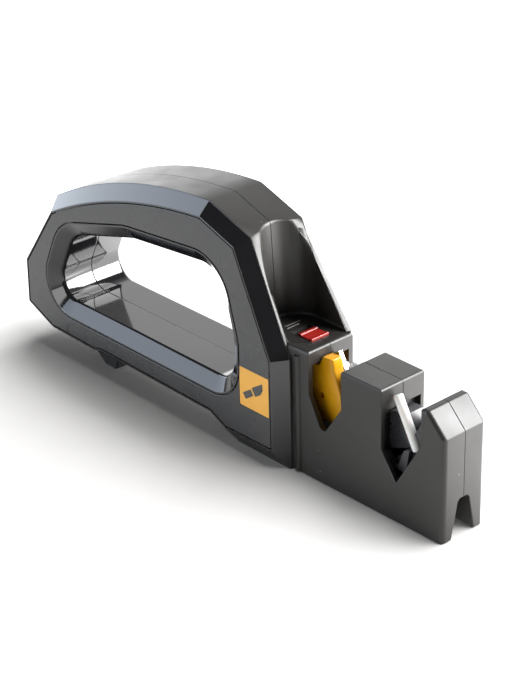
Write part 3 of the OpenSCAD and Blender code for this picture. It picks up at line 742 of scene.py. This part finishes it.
# %% [markdown]
# ## Places on the nose
# The nose is a tapering bar with a block, a tower and a horn, and two notches between them. Behind the
# block, the grip is hollowed out into a scoop for the thumb. The body halves keep the shape of their
# solids and only need rounded edges. Edges picked by hand would have to be picked again after each change
# of the solids, so a few tests say where a point lies: on a side of the nose, on the scoop's wall, or on
# the parting plane where it shows.

# %% Places on the nose
NOSE_REAR, NOSE_REAR_Y = 43.6, 12.953    # start of the nose inside the grip, and its half width there
NOSE_END_Y = 11.8                        # half width where the end rounding starts
END_R = 2.4                              # radius of the upright end edges
BLOCK_X, TOWER_X, FACE_X, HORN_X, END_X = 57.0, 75.4, 97.5, 118.4, 130.5
BLOCK_H, TOWER_H, HORN_FRONT_H = 57.6, 56.0, 46.7
SCOOP_R = 12.2
SCOOP_AXIS = Vector((ROOT_X - 9.85, 0, BLOCK_H - 10))
SCOOP_LEAN = math.radians(3.6)
SCOOP_NEAR = 0.1                         # closer than this is on the scoop's wall
NEAR = 0.06                              # closer than this is at the same place
UPPER_Z = 46.0                           # walls of the notches show above this
CHANNEL_X, CHANNEL_Z = 121.0, 17.0       # the end of the nose shows beyond and above these
SPINE_Z, SPINE_DEEP = 60.0, 12.0         # the spine's line is above this, and this close to its outline
outline_points = spine()


def near(value, *targets):
    return any(abs(value - target) < NEAR for target in targets)


def both(a, b, test):
    return test(a) and test(b)


def off_scoop(p):
    """Distance from the wall of the scoop."""
    q = p - SCOOP_AXIS
    forward = q.x * math.cos(SCOOP_LEAN) + q.z * math.sin(SCOOP_LEAN)
    if forward > 0:
        return abs(abs(p.y) - SCOOP_R)
    return abs(math.hypot(forward, p.y) - SCOOP_R)


def nose_half(x):
    """Half width of the tapering nose."""
    return NOSE_REAR_Y + (NOSE_END_Y - NOSE_REAR_Y) * (x - NOSE_REAR) / (END_X - END_R - NOSE_REAR)


def on_side(p):
    return near(abs(p.y), nose_half(p.x))


def on_outside(p):
    """True for a point of the parting plane that shows from outside."""
    if p.x > BLOCK_X - NEAR:
        walls = near(p.x, BLOCK_X, TOWER_X, FACE_X, HORN_X, END_X)
        return walls and p.z > UPPER_Z or near(p.z, TOWER_H) or p.x > CHANNEL_X and p.z > CHANNEL_Z
    if near(p.z, BLOCK_H) or p.z > BLOCK_H and off_scoop(p) < SCOOP_NEAR:
        return True
    return p.z > SPINE_Z and min((Vector((p.x, p.z)) - q).length for q in outline_points) < SPINE_DEEP


print("width of the nose at both ends, mm:", 2 * NOSE_REAR_Y, round(2 * nose_half(END_X), 2))

# %% [markdown]
# ## Edges of the nose
# A moulding has a radius for each kind of edge: a full lip round the scoop, a fillet round its floor,
# softer edges on the block, tower and horn, and small ones underneath. The rule below names them. It also
# gives a fine bevel to the parting plane, and the two halves together then show a parting line.

# %% Edges of the nose
BLOCK_SIDE_R, BLOCK_FRONT_R, BLOCK_R = 1.7, 1.1, 0.15
HORN_SIDE_R, HORN_R = 2.0, 0.5
TOWER_FRONT_R, TOWER_R = 1.1, 0.8
UNDER_END_R, UNDER_R = 1.0, 0.5
WALL_R = 0.4
SCOOP_FLOOR_R, SCOOP_LIP_R = 1.2, 1.1
PARTING = 0.28               # bevel along the parting line
PARTING_NEAR = 0.01          # closer than this is on the parting plane
LENGTHWISE = 1.0             # an edge that goes further than this along X runs along the nose
LEAST_EDGE = 1.5             # shorter edges of the side walls stay sharp


def nose_width(a, b):
    """Rounding of an outer edge of the nose, mm."""
    sides = both(a, b, on_side)
    at_end = both(a, b, lambda p: near(p.x, END_X))
    if both(a, b, lambda p: near(p.z, BLOCK_H)):
        if sides:
            return BLOCK_SIDE_R
        return BLOCK_FRONT_R if both(a, b, lambda p: near(p.x, BLOCK_X)) else BLOCK_R
    if at_end and sides:
        return END_R
    if both(a, b, lambda p: p.x > HORN_X - NEAR and p.z > UPPER_Z):
        return HORN_SIDE_R if sides and abs(a.x - b.x) > LENGTHWISE else HORN_R
    if both(a, b, lambda p: near(p.z, TOWER_H)):
        return TOWER_FRONT_R if both(a, b, lambda p: near(p.x, FACE_X)) else TOWER_R
    if both(a, b, lambda p: near(p.z, 0)):
        return UNDER_END_R if at_end else UNDER_R
    if at_end or sides and (a - b).length > LEAST_EDGE:
        return WALL_R
    return 0


def body_width(a, b, convex):
    """Rounding of an edge of a body half, mm."""
    if not convex:
        on_floor = both(a, b, lambda p: near(p.z, BLOCK_H) and off_scoop(p) < SCOOP_NEAR)
        return SCOOP_FLOOR_R if on_floor else 0
    if both(a, b, lambda p: abs(p.y) < PARTING_NEAR):
        return PARTING if on_outside((a + b) / 2) else 0
    if both(a, b, lambda p: near(abs(p.y), SPINE_Y)):
        return SEAM_R
    if both(a, b, lambda p: off_scoop(p) < SCOOP_NEAR and p.z > BLOCK_H + NEAR):
        return SCOOP_LIP_R
    return nose_width(a, b) if min(a.x, b.x) > NOSE_REAR else 0


print("radii of the scoop's floor and lip, mm:", SCOOP_FLOOR_R, SCOOP_LIP_R)

# %% [markdown]
# ## Body halves
# The two halves meet on the middle plane and carry everything else. Each is a copy of its solid, rounded
# by the rule above with one bevel modifier. The upright edges at the nose's end are round in the solid
# already. They are first taken back to sharp ones, so that the same bevel rounds all edges that meet
# there and no lump is left at the corner.

# %% Body halves
MIDDLE_Z = 20.0      # parts the upper corners of the nose's end from the lower ones
MERGED = 1e-3        # points closer than this become one, mm


def square_end(bm):
    """Takes the round upright edges of the nose's end back to sharp ones."""
    for v in bm.verts:
        if v.co.x > END_X - END_R - NEAR and abs(v.co.y) > NOSE_END_Y - END_R - NEAR:
            height = HORN_FRONT_H if v.co.z > MIDDLE_Z else 0
            v.co = (END_X, math.copysign(nose_half(END_X), v.co.y), height)
    bmesh.ops.remove_doubles(bm, verts=bm.verts, dist=MERGED)


for name, node in (("left_half", "left_body"), ("right_half", "right_body")):
    half_bm = solid_copy(node)
    square_end(half_bm)
    bmesh.ops.connect_verts_concave(half_bm, faces=half_bm.faces)
    rounded_edges = weigh_edges(half_bm, body_width)
    add_piece(half_bm, name, "base", body_finish, [node], steps=4)
    print(name, "rounded edges:", rounded_edges)

# %% [markdown]
# ## Selector
# The button is a low red slider with a raised lip at each end, so that a thumb can push it both ways. Its
# stem goes down through the slot. A cube cut by booleans would do, but a side outline with rounded
# corners, drawn across the button as a plate, gives the dish and the lips at once.

# %% Selector
button_low, button_high = [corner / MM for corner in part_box("selector_button")]
REAR_LIP, FRONT_LIP = 1.6, 1.0
LIP_SLOPE = 0.6              # length of the slope from a lip down into the dish
DISH = 0.5                   # depth of the middle below the lips
REAR_DROP = 0.3              # how far the rear edge lies below the rear lip
BUTTON_FOOT = BLOCK_H - 0.85
BUTTON_R, BUTTON_FOOT_R, BUTTON_SIDE_R = 0.35, 0.05, 0.25
STEM_REAR, STEM_FRONT = 1.2, 1.4    # how far the stem stays inside the button's ends
STEM_LAP = 0.3               # how far the stem reaches into the button
STEM_Y, STEM_R = 2.8, 0.1


def button_side(depth):
    """Side outline of the button, moved inwards by depth."""
    x0, x1, top = button_low.x, button_high.x, button_high.z
    points = [(x0, BUTTON_FOOT), (x1, BUTTON_FOOT), (x1, top), (x1 - FRONT_LIP, top),
              (x1 - FRONT_LIP - LIP_SLOPE, top - DISH), (x0 + REAR_LIP + LIP_SLOPE, top - DISH),
              (x0 + REAR_LIP, top), (x0, top - REAR_DROP)]
    radii = [BUTTON_FOOT_R] * 2 + [BUTTON_R - depth] * 6
    return rounded(inset([Vector(p) for p in points], depth), radii)


def stem_side(depth):
    x0, x1 = button_low.x + STEM_REAR, button_high.x - STEM_FRONT
    z0, z1 = button_low.z, BUTTON_FOOT + STEM_LAP
    return inset([Vector(p) for p in ((x0, z0), (x1, z0), (x1, z1), (x0, z1))], depth)


button_bm = bmesh.new()
rounded_plate(button_bm, button_side, button_low.y, button_high.y, BUTTON_SIDE_R)
rounded_plate(button_bm, stem_side, -STEM_Y, STEM_Y, STEM_R)
add_piece(button_bm, "selector_slider", "selector", red_finish, ["selector_button"])
print("button, mm:", [round(c, 2) for c in button_high - button_low])

# %% [markdown]
# ## Setting lines
# Two pale lines on the floor of the scoop stand for the button's two settings. They are films of print,
# made as those on the badge are, but they lie flat and stay on the body when the button moves.

# %% Setting lines
MARK_LINES = ((33.4, -3.2, 5.6), (35.4, -3.8, 2.8))    # place along X and both ends along Y
MARK_W, MARK_CORNER = 0.5, 0.12


def flat_line(x, y0, y1):
    """Outline of a printed line, as seen from above."""
    half = MARK_W / 2
    points = [(x - half, y0), (x + half, y0), (x + half, y1), (x - half, y1)]
    return rounded([Vector(p) for p in points], [MARK_CORNER] * 4)


marks_bm = bmesh.new()
for line in MARK_LINES:
    heights = (BLOCK_H - FILM_BED, BLOCK_H + FILM)
    closed_stack(marks_bm, [[Vector((p.x, p.y, z)) for p in flat_line(*line)] for z in heights])
add_piece(marks_bm, "setting_lines", "base", pale_finish)
print("setting lines:", len(MARK_LINES))

# %% [markdown]
# ## Carriages, cutters and foot
# The yellow carriage holds the carbide cutters in the first notch, and the black one holds the ceramic
# rods in the second. Both rock with the blade. They start from their solids, and so do the cutters and
# the foot: moulded pieces get wide edges, and the ground carbide only a hair's breadth. Before that, the
# step behind the yellow carriage's rear cheek becomes a slope, and its front cheek is lowered. Moving a
# few points is quicker than drawing a new shape for so small a change.

# %% Carriages, cutters and foot
CARRIAGE_R, CARRIAGE_LEAST = 0.5, 0.9    # rounding of the yellow carriage, and its shortest rounded edge
ROUNDED_SOLIDS = (
    ("carbide_carriage", "carbide_stage", yellow_finish, "carriage_yellow", CARRIAGE_R, CARRIAGE_LEAST),
    ("carbide_cutter_rear", "carbide_stage", carbide_finish, "carbide", 0.2, 1.0),
    ("carbide_cutter_front", "carbide_stage", carbide_finish, "carbide", 0.2, 1.0),
    ("ceramic_carriage", "ceramic_stage", black_finish, "carriage_black", 0.4, 0.9),
    ("rear_foot", "base", rubber_finish, "foot_rubber", 0.6, 1.5))
STEP_AT = Vector((57.7, 50.6))           # corner behind the rear cheek
STEP_TO = Vector((57.1, 51.9))           # where it goes, to make a slope
CHEEK_MIDDLE, CHEEK_TOP = 66.2, 52.0     # the top of the front cheek lies beyond and above these
CHEEK_DROP = 3.0                         # keeps the front cheek below the tower
CHEEK_Y, CHEEK_Z = -5.5, 36.0            # near face of the cheeks, and where they start
CHEEK_X0, CHEEK_X1 = 60.0, 70.0          # the cheeks' inner edges lie between these
CHEEK_EDGE = 1.4                         # soft inner edge of the near cheeks
UPRIGHT = 1.0                            # an edge that rises more than this is an upright one


def shape_cheeks(bm):
    for v in bm.verts:
        if (Vector((v.co.x, v.co.z)) - STEP_AT).length < NEAR:
            v.co.x, v.co.z = STEP_TO
        elif v.co.x > CHEEK_MIDDLE and v.co.z > CHEEK_TOP:
            v.co.z -= CHEEK_DROP


def plain_rule(width, shortest):
    return lambda a, b, convex: width if convex and (a - b).length > shortest else 0


def cheek_rule(a, b, convex):
    inner = both(a, b, lambda p: near(p.y, CHEEK_Y) and CHEEK_X0 < p.x < CHEEK_X1 and p.z > CHEEK_Z)
    if inner and convex and abs(a.z - b.z) > UPRIGHT:
        return CHEEK_EDGE
    return plain_rule(CARRIAGE_R, CARRIAGE_LEAST)(a, b, convex)


for node, body, finish, slot, width, shortest in ROUNDED_SOLIDS:
    solid_bm = solid_copy(node)
    rule = plain_rule(width, shortest)
    if node == "carbide_carriage":
        shape_cheeks(solid_bm)
        rule = cheek_rule
    count = weigh_edges(solid_bm, rule)
    add_piece(solid_bm, node + "_moulded", body, finish, [node], steps=3)
    print(node, "rounded edges:", count)

# %% [markdown]
# ## Ceramic rods
# Two ceramic rods cross in the second notch and hone the blade from both sides. A rod is a turned shape:
# a short profile of radii along its axis, swept round it, gives it rounded ends. Blender's own cylinder
# has flat ends and would need a bevel. The rod's box gives its place and, with the lean, its length.

# %% Ceramic rods
ROD_STEPS = 40
ROD_R = 2.0
ROD_END = 0.5                    # rounding of the rod's ends
ROD_LEAN = math.radians(28.5)


def rod_mesh(node, lean_sign):
    """A rod on the long diagonal of its solid's box, in the plane of its middle."""
    low, high = [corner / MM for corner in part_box(node)]
    lean = ROD_LEAN * lean_sign
    axis = Vector((math.sin(lean), 0, math.cos(lean)))
    across, aside = Vector((axis.z, 0, -axis.x)), Vector((0, 1, 0))
    length = (high.z - low.z - 2 * ROD_R * abs(axis.x)) / axis.z
    foot = (low + high) / 2 - axis * (length / 2)
    ends = [(along, ROD_R - inwards) for inwards, along in round_edge(ROD_END)]
    turns = [math.tau * k / ROD_STEPS for k in range(ROD_STEPS)]
    rings = []
    for along, radius in sorted(ends + [(length - along, radius) for along, radius in ends]):
        rings.append([foot + axis * along + across * (radius * math.cos(a)) + aside * (radius * math.sin(a))
                      for a in turns])
    bm = bmesh.new()
    closed_stack(bm, rings)
    return bm


for node, sign in (("ceramic_rod_rear", -1), ("ceramic_rod_front", 1)):
    add_piece(rod_mesh(node, sign), node + "_turned", "ceramic_stage", ceramic_finish, [node])
print("rods turned, radius mm:", ROD_R)

# %% [markdown]
# ## Small pieces that keep their solids
# Screws, pins, springs and the shoe under the button are right as they are. New meshes would add nothing
# here, so these solids stay and only get their finish.

# %% Finishes of the other solids
NODE_FINISH = dict.fromkeys(("body_screws", "selector_spring", "cutter_screws", "carbide_pivot_pin",
                             "carbide_spring", "ceramic_pivot_pin", "ceramic_spring"), steel_finish)
NODE_FINISH["selector_shoe"] = inner_finish
for node, finish in NODE_FINISH.items():
    mesh = frame["nodes"][node].data
    mesh.materials.clear()
    mesh.materials.append(finish)
print("solids kept as they are:", len(NODE_FINISH))

# %% [markdown]
# ## Camera
# The camera stands before the nose, on the badge's side and well above, so that both notches show. It
# could be placed and turned by hand. Here it has a point to look at, its angles and a distance, which are
# easy to read and to change. The long lens keeps the grip's lines nearly parallel.

# %% Camera
AZIMUTH, ELEVATION, ROLL = 48.775, 27.323, -1.656
TARGET = Vector((9.94, 0, 37.96)) * MM
DISTANCE = 0.80886
LENS, SENSOR = 98.57, 36     # mm
NEAREST = 0.05               # nothing closer than this is drawn, m


def direction(azimuth, elevation):
    a, e = math.radians(azimuth), math.radians(elevation)
    return Vector((math.sin(a) * math.cos(e), -math.cos(a) * math.cos(e), math.sin(e)))


to_camera = direction(AZIMUTH, ELEVATION)
camera = bpy.data.objects.new("camera", bpy.data.cameras.new("camera"))
bpy.context.scene.collection.objects.link(camera)
camera.data.lens = LENS
camera.data.sensor_width = SENSOR
camera.data.clip_start = NEAREST
turn = (-to_camera).to_track_quat("-Z", "Y").to_matrix() @ Matrix.Rotation(math.radians(ROLL), 3, "Z")
camera.matrix_world = Matrix.Translation(TARGET + to_camera * DISTANCE) @ turn.to_4x4()
bpy.context.scene.camera = camera
print("camera at, m:", [round(c, 3) for c in camera.matrix_world.translation])

# %% [markdown]
# ## Table
# The object stands on a white paper table that fills the view. A real studio bends the paper up behind
# the object. A flat sheet is enough here, because the room behind it is white as well. The paper's
# colour stays a little below white, so that the shadow and the light on it can still be told apart.

# %% Table
TABLE = 3.0                  # half the table's size, m
PAPER, PAPER_2 = colour(0.79, 0.785, 0.775), colour(0.77, 0.765, 0.755)
table_mesh = bpy.data.meshes.new("table")
table_corners = [(-TABLE, -TABLE, 0), (TABLE, -TABLE, 0), (TABLE, TABLE, 0), (-TABLE, TABLE, 0)]
table_mesh.from_pydata(table_corners, [], [(0, 1, 2, 3)])
table = bpy.data.objects.new("table", table_mesh)
bpy.context.scene.collection.objects.link(table)
paper = Finish("white table", PAPER, 0.9).vary_colour(PAPER, PAPER_2)
table_mesh.materials.append(paper.material)
print("table, m:", 2 * TABLE)

# %% [markdown]
# ## Glow of the table
# A white background mustn't put more light on the object. So the paper glows only for rays that come from
# the camera, weakly round the object, where its shadow lies, and fully far away. Shiny and clear faces
# see a glow behind the object too, as they would see a lit table. More lamps would also whiten the paper,
# but they would fill the shadow.

# %% Glow of the table
GLOW_NEAR, GLOW_FAR = 0.04, 1.0    # what the camera sees, round the object and far from it
GLOW_MIRRORED = 2.8                # what shiny faces see of the table behind the object
BEHIND = (0.0, 0.05)               # along Y, the mirrored glow starts and is full here, m
SPOT_PLACE, SPOT_SCALE = (0, 0.2, 0), (5, 7, 0)    # makes a circle of the oval round the object
SPOT_EDGE = (0.7, 2.0)             # radii of that circle, where the glow is near and where it is far
rays = paper.node("ShaderNodeLightPath")
spot = paper.node("ShaderNodeMapping", Scale=SPOT_SCALE, Location=SPOT_PLACE)
away = paper.node("ShaderNodeVectorMath", operation="LENGTH")
axes = paper.node("ShaderNodeSeparateXYZ")
glow = paper.node("ShaderNodeMath", operation="MULTIPLY_ADD")
paper.link(paper.place, spot.inputs["Vector"])
paper.link(spot.outputs["Vector"], away.inputs[0])
paper.link(paper.place, axes.inputs[0])
mirrors = paper.combine("MAXIMUM", rays.outputs["Is Glossy Ray"], rays.outputs["Is Transmission Ray"])
mirrored_glow = paper.spread(axes.outputs["Y"], 0, GLOW_MIRRORED, *BEHIND)
paper.link(rays.outputs["Is Camera Ray"], glow.inputs[0])
paper.link(paper.spread(away.outputs["Value"], GLOW_NEAR, GLOW_FAR, *SPOT_EDGE), glow.inputs[1])
paper.link(paper.combine("MULTIPLY", mirrors, mirrored_glow), glow.inputs[2])
paper.link(glow.outputs[0], paper.shader.inputs["Emission Strength"])
paper.set(Emission_Color=colour(1, 1, 1))
paper.material.cycles.emission_sampling = "NONE"
print("nodes of the paper:", len(paper.tree.nodes))

# %% [markdown]
# ## Lights
# The key softbox stands on the right of the picture and draws the bright edges. A wide bluish window on
# the left gives the covers their cool sheen, a low fill stands nearer to the camera, and two pale walls
# stand behind. With so many lamps the table would lose its shadow. Light linking keeps them off it, and
# one high soft lamp lights the table alone, so the shadow stays short and dark. Lamps are given by their
# brightness, as a shiny face sees it, and not by power: a lamp can then change its size and keep the
# strength of its reflection.

# %% Lights
off_table = bpy.data.collections.new("all but the table")
off_table.objects.link(table)
off_table.collection_objects[0].light_linking.link_state = "EXCLUDE"
table_alone = bpy.data.collections.new("table alone")
table_alone.objects.link(table)


def softbox(name, towards, distance, size, radiance, tint=(1, 1, 1), lights=off_table):
    """An area light of a given size and brightness, facing the object."""
    width, height = size
    lamp = bpy.data.lights.new(name, "AREA")
    lamp.shape = "RECTANGLE"
    lamp.size, lamp.size_y = width, height
    lamp.energy = radiance * math.pi * width * height
    lamp.color = tint
    made = bpy.data.objects.new(name, lamp)
    bpy.context.scene.collection.objects.link(made)
    way = Vector(towards).normalized()
    made.location = TARGET + way * distance
    made.rotation_mode = "QUATERNION"
    made.rotation_quaternion = way.to_track_quat("Z", "Y")
    made.visible_camera = False
    made.light_linking.receiver_collection = lights


COOL = (0.76, 0.86, 1.0)
softbox("key", (0.61, 0.65, 0.43), distance=1.2, size=(0.6, 1.15), radiance=27.0)
softbox("window", (-0.86, -0.35, 0.375), distance=1.4, size=(2.35, 1.05), radiance=2.9, tint=COOL)
softbox("fill", (-0.25, -0.96, 0.14), distance=1.4, size=(1.2, 0.4), radiance=3.3)
softbox("wall", (-0.70, 0.66, 0.12), distance=1.8, size=(2.2, 0.6), radiance=2.1)
softbox("upper wall", (-0.66, 0.60, 0.46), distance=1.8, size=(2.2, 0.8), radiance=0.55)
softbox("table light", (0.24, 0.55, 0.75), distance=1.0, size=(1.5, 1.5), radiance=6.0, lights=table_alone)
print("lamps:", len(bpy.data.lights))

# %% [markdown]
# ## Surroundings
# The camera sees the room as white, and so do shiny faces that mirror the side behind the object. Towards
# the camera the room is dim, so that polished faces turned that way stay black. One plain white world
# would be simpler, but it would wash out every polished face.

# %% World
ROOM = 0.09
BACKDROP = (0.35, 0.7)    # how far a direction points away from the camera where white starts and is full
world = bpy.data.worlds.new("room")
world.use_nodes = True
bpy.context.scene.world = world
sky = world.node_tree
room = sky.nodes["Background"]
room.inputs["Color"].default_value = colour(ROOM, ROOM, ROOM)
white = sky.nodes.new("ShaderNodeBackground")
white.inputs["Color"].default_value = colour(1, 1, 1)
choose = sky.nodes.new("ShaderNodeMixShader")
ray = sky.nodes.new("ShaderNodeLightPath")


def sky_math(operation, a, b):
    """A math node of the room's shader, fed by two sockets."""
    made = sky.nodes.new("ShaderNodeMath")
    made.operation = operation
    sky.links.new(a, made.inputs[0])
    sky.links.new(b, made.inputs[1])
    return made.outputs[0]


looking = sky.nodes.new("ShaderNodeTexCoord")
facing = sky.nodes.new("ShaderNodeVectorMath")
facing.operation = "DOT_PRODUCT"
facing.inputs[1].default_value = (-to_camera.x, -to_camera.y, 0)
sky.links.new(looking.outputs["Generated"], facing.inputs[0])
backdrop = sky.nodes.new("ShaderNodeMapRange")
backdrop.inputs["From Min"].default_value, backdrop.inputs["From Max"].default_value = BACKDROP
sky.links.new(facing.outputs["Value"], backdrop.inputs["Value"])
shiny = sky_math("MAXIMUM", ray.outputs["Is Glossy Ray"], ray.outputs["Is Transmission Ray"])
mirrored_white = sky_math("MULTIPLY", shiny, backdrop.outputs["Result"])
sky.links.new(sky_math("MAXIMUM", ray.outputs["Is Camera Ray"], mirrored_white), choose.inputs["Fac"])
sky.links.new(room.outputs["Background"], choose.inputs[1])
sky.links.new(white.outputs["Background"], choose.inputs[2])
sky.links.new(choose.outputs["Shader"], sky.nodes["World Output"].inputs["Surface"])
bpy.context.scene.view_settings.view_transform = "Standard"
print("brightness of the room towards the camera:", ROOM)
